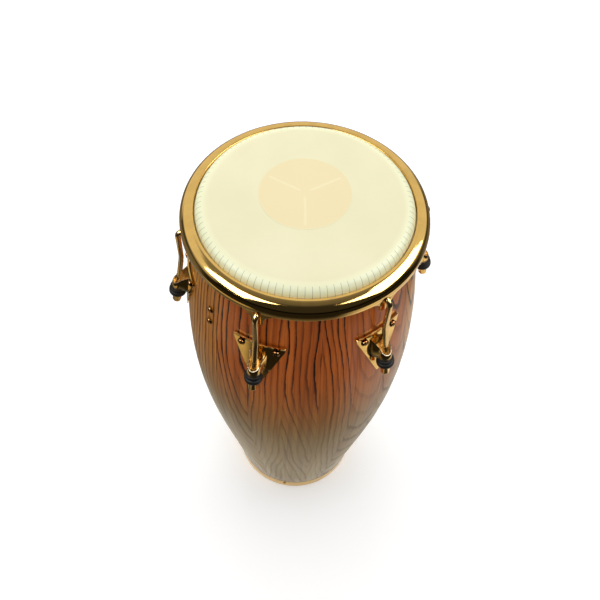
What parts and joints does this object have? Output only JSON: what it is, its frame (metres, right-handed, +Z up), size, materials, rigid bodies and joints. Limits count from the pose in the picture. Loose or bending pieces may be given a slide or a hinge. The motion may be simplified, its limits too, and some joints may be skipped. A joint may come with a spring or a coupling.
{
  "type": "conga drum",
  "caption": "Tall barrel-shaped hand drum with a stave shell open at the foot, a synthetic head, a rolled steel rim, hooks through side plates and tuning nuts.",
  "frame": {"origin": "centre of the foot, on the floor", "axes": "+Z up the drum's axis to the playing surface; -Y is the front, midway between two lugs"},
  "size_m": [0.4026, 0.3568, 0.762],
  "materials": {
    "stave_wood": "lacquered ash staves, red-brown fading to grey-brown",
    "head_film": "cream synthetic drumhead film, satin",
    "gold_metal": "polished gold plating on steel",
    "dark_gold": "polished gold plating, darker",
    "foot_metal": "gold plated band, satin",
    "bumper_rubber": "black moulded rubber",
    "foot_rubber": "black rubber ring",
    "hidden_steel": "zinc plated steel"
  },
  "bodies": {
    "root": {"shell": "stave_wood", "head_film": "head_film", "flesh_hoop": "hidden_steel", "foot_band": "foot_metal", "foot_ring": "foot_rubber", "brace_plate": "hidden_steel", "brace_bolt_1": "dark_gold", "brace_bolt_2": "dark_gold", "band_screw_1": "dark_gold", "band_screw_2": "dark_gold", "band_screw_3": "dark_gold", "band_screw_4": "dark_gold", "side_plate_1": "gold_metal", "backing_plate_1": "hidden_steel", "bumper_1": "bumper_rubber", "plate_bolt_1_left": "dark_gold", "plate_bolt_1_right": "dark_gold", "side_plate_2": "gold_metal", "backing_plate_2": "hidden_steel", "bumper_2": "bumper_rubber", "plate_bolt_2_left": "dark_gold", "plate_bolt_2_right": "dark_gold", "side_plate_3": "gold_metal", "backing_plate_3": "hidden_steel", "bumper_3": "bumper_rubber", "plate_bolt_3_left": "dark_gold", "plate_bolt_3_right": "dark_gold", "side_plate_4": "gold_metal", "backing_plate_4": "hidden_steel", "bumper_4": "bumper_rubber", "plate_bolt_4_left": "dark_gold", "plate_bolt_4_right": "dark_gold", "side_plate_5": "gold_metal", "backing_plate_5": "hidden_steel", "bumper_5": "bumper_rubber", "plate_bolt_5_left": "dark_gold", "plate_bolt_5_right": "dark_gold", "side_plate_6": "gold_metal", "backing_plate_6": "hidden_steel", "bumper_6": "bumper_rubber", "plate_bolt_6_left": "dark_gold", "plate_bolt_6_right": "dark_gold"},
    "rim": {"rim": "gold_metal"},
    "hook_1": {"hook_1": "gold_metal"},
    "nut_1": {"nut_1": "gold_metal"},
    "hook_2": {"hook_2": "gold_metal"},
    "nut_2": {"nut_2": "gold_metal"},
    "hook_3": {"hook_3": "gold_metal"},
    "nut_3": {"nut_3": "gold_metal"},
    "hook_4": {"hook_4": "gold_metal"},
    "nut_4": {"nut_4": "gold_metal"},
    "hook_5": {"hook_5": "gold_metal"},
    "nut_5": {"nut_5": "gold_metal"},
    "hook_6": {"hook_6": "gold_metal"},
    "nut_6": {"nut_6": "gold_metal"}
  },
  "joints": [
    {"name": "nut_1_turn", "type": "hinge", "parent": "root", "child": "nut_1", "pos_m": [-0.09344, -0.16184, 0.6], "axis": [-0.0825, -0.1429, -0.9863], "range_deg": [0, 1800]},
    {"name": "hook_1_slide", "type": "slide", "parent": "root", "child": "hook_1", "axis": [0.0825, 0.1429, 0.9863], "range_m": [0, 0.00707]},
    {"name": "nut_2_turn", "type": "hinge", "parent": "root", "child": "nut_2", "pos_m": [0.09344, -0.16184, 0.6], "axis": [0.0825, -0.1429, -0.9863], "range_deg": [0, 1800]},
    {"name": "hook_2_slide", "type": "slide", "parent": "root", "child": "hook_2", "axis": [-0.0825, 0.1429, 0.9863], "range_m": [0, 0.00707]},
    {"name": "nut_3_turn", "type": "hinge", "parent": "root", "child": "nut_3", "pos_m": [0.18688, 0, 0.6], "axis": [0.165, 0, -0.9863], "range_deg": [0, 1800]},
    {"name": "hook_3_slide", "type": "slide", "parent": "root", "child": "hook_3", "axis": [-0.165, 0, 0.9863], "range_m": [0, 0.00707]},
    {"name": "nut_4_turn", "type": "hinge", "parent": "root", "child": "nut_4", "pos_m": [0.09344, 0.16184, 0.6], "axis": [0.0825, 0.1429, -0.9863], "range_deg": [0, 1800]},
    {"name": "hook_4_slide", "type": "slide", "parent": "root", "child": "hook_4", "axis": [-0.0825, -0.1429, 0.9863], "range_m": [0, 0.00707]},
    {"name": "nut_5_turn", "type": "hinge", "parent": "root", "child": "nut_5", "pos_m": [-0.09344, 0.16184, 0.6], "axis": [-0.0825, 0.1429, -0.9863], "range_deg": [0, 1800]},
    {"name": "hook_5_slide", "type": "slide", "parent": "root", "child": "hook_5", "axis": [0.0825, -0.1429, 0.9863], "range_m": [0, 0.00707]},
    {"name": "nut_6_turn", "type": "hinge", "parent": "root", "child": "nut_6", "pos_m": [-0.18688, 0, 0.6], "axis": [-0.165, 0, -0.9863], "range_deg": [0, 1800]},
    {"name": "hook_6_slide", "type": "slide", "parent": "root", "child": "hook_6", "axis": [0.165, 0, 0.9863], "range_m": [0, 0.00707]},
    {"name": "rim_slide", "type": "slide", "parent": "root", "child": "rim", "axis": [0, 0, 1], "range_m": [0, 0.00696]}
  ],
  "couplings": [
    {"joint": "nut_1_turn", "follows": "rim_slide", "rad_per_m": 4514.6},
    {"joint": "hook_1_slide", "follows": "rim_slide", "ratio": 1.0139},
    {"joint": "nut_2_turn", "follows": "rim_slide", "rad_per_m": 4514.6},
    {"joint": "hook_2_slide", "follows": "rim_slide", "ratio": 1.0139},
    {"joint": "nut_3_turn", "follows": "rim_slide", "rad_per_m": 4514.6},
    {"joint": "hook_3_slide", "follows": "rim_slide", "ratio": 1.0139},
    {"joint": "nut_4_turn", "follows": "rim_slide", "rad_per_m": 4514.6},
    {"joint": "hook_4_slide", "follows": "rim_slide", "ratio": 1.0139},
    {"joint": "nut_5_turn", "follows": "rim_slide", "rad_per_m": 4514.6},
    {"joint": "hook_5_slide", "follows": "rim_slide", "ratio": 1.0139},
    {"joint": "nut_6_turn", "follows": "rim_slide", "rad_per_m": 4514.6},
    {"joint": "hook_6_slide", "follows": "rim_slide", "ratio": 1.0139}
  ]
}
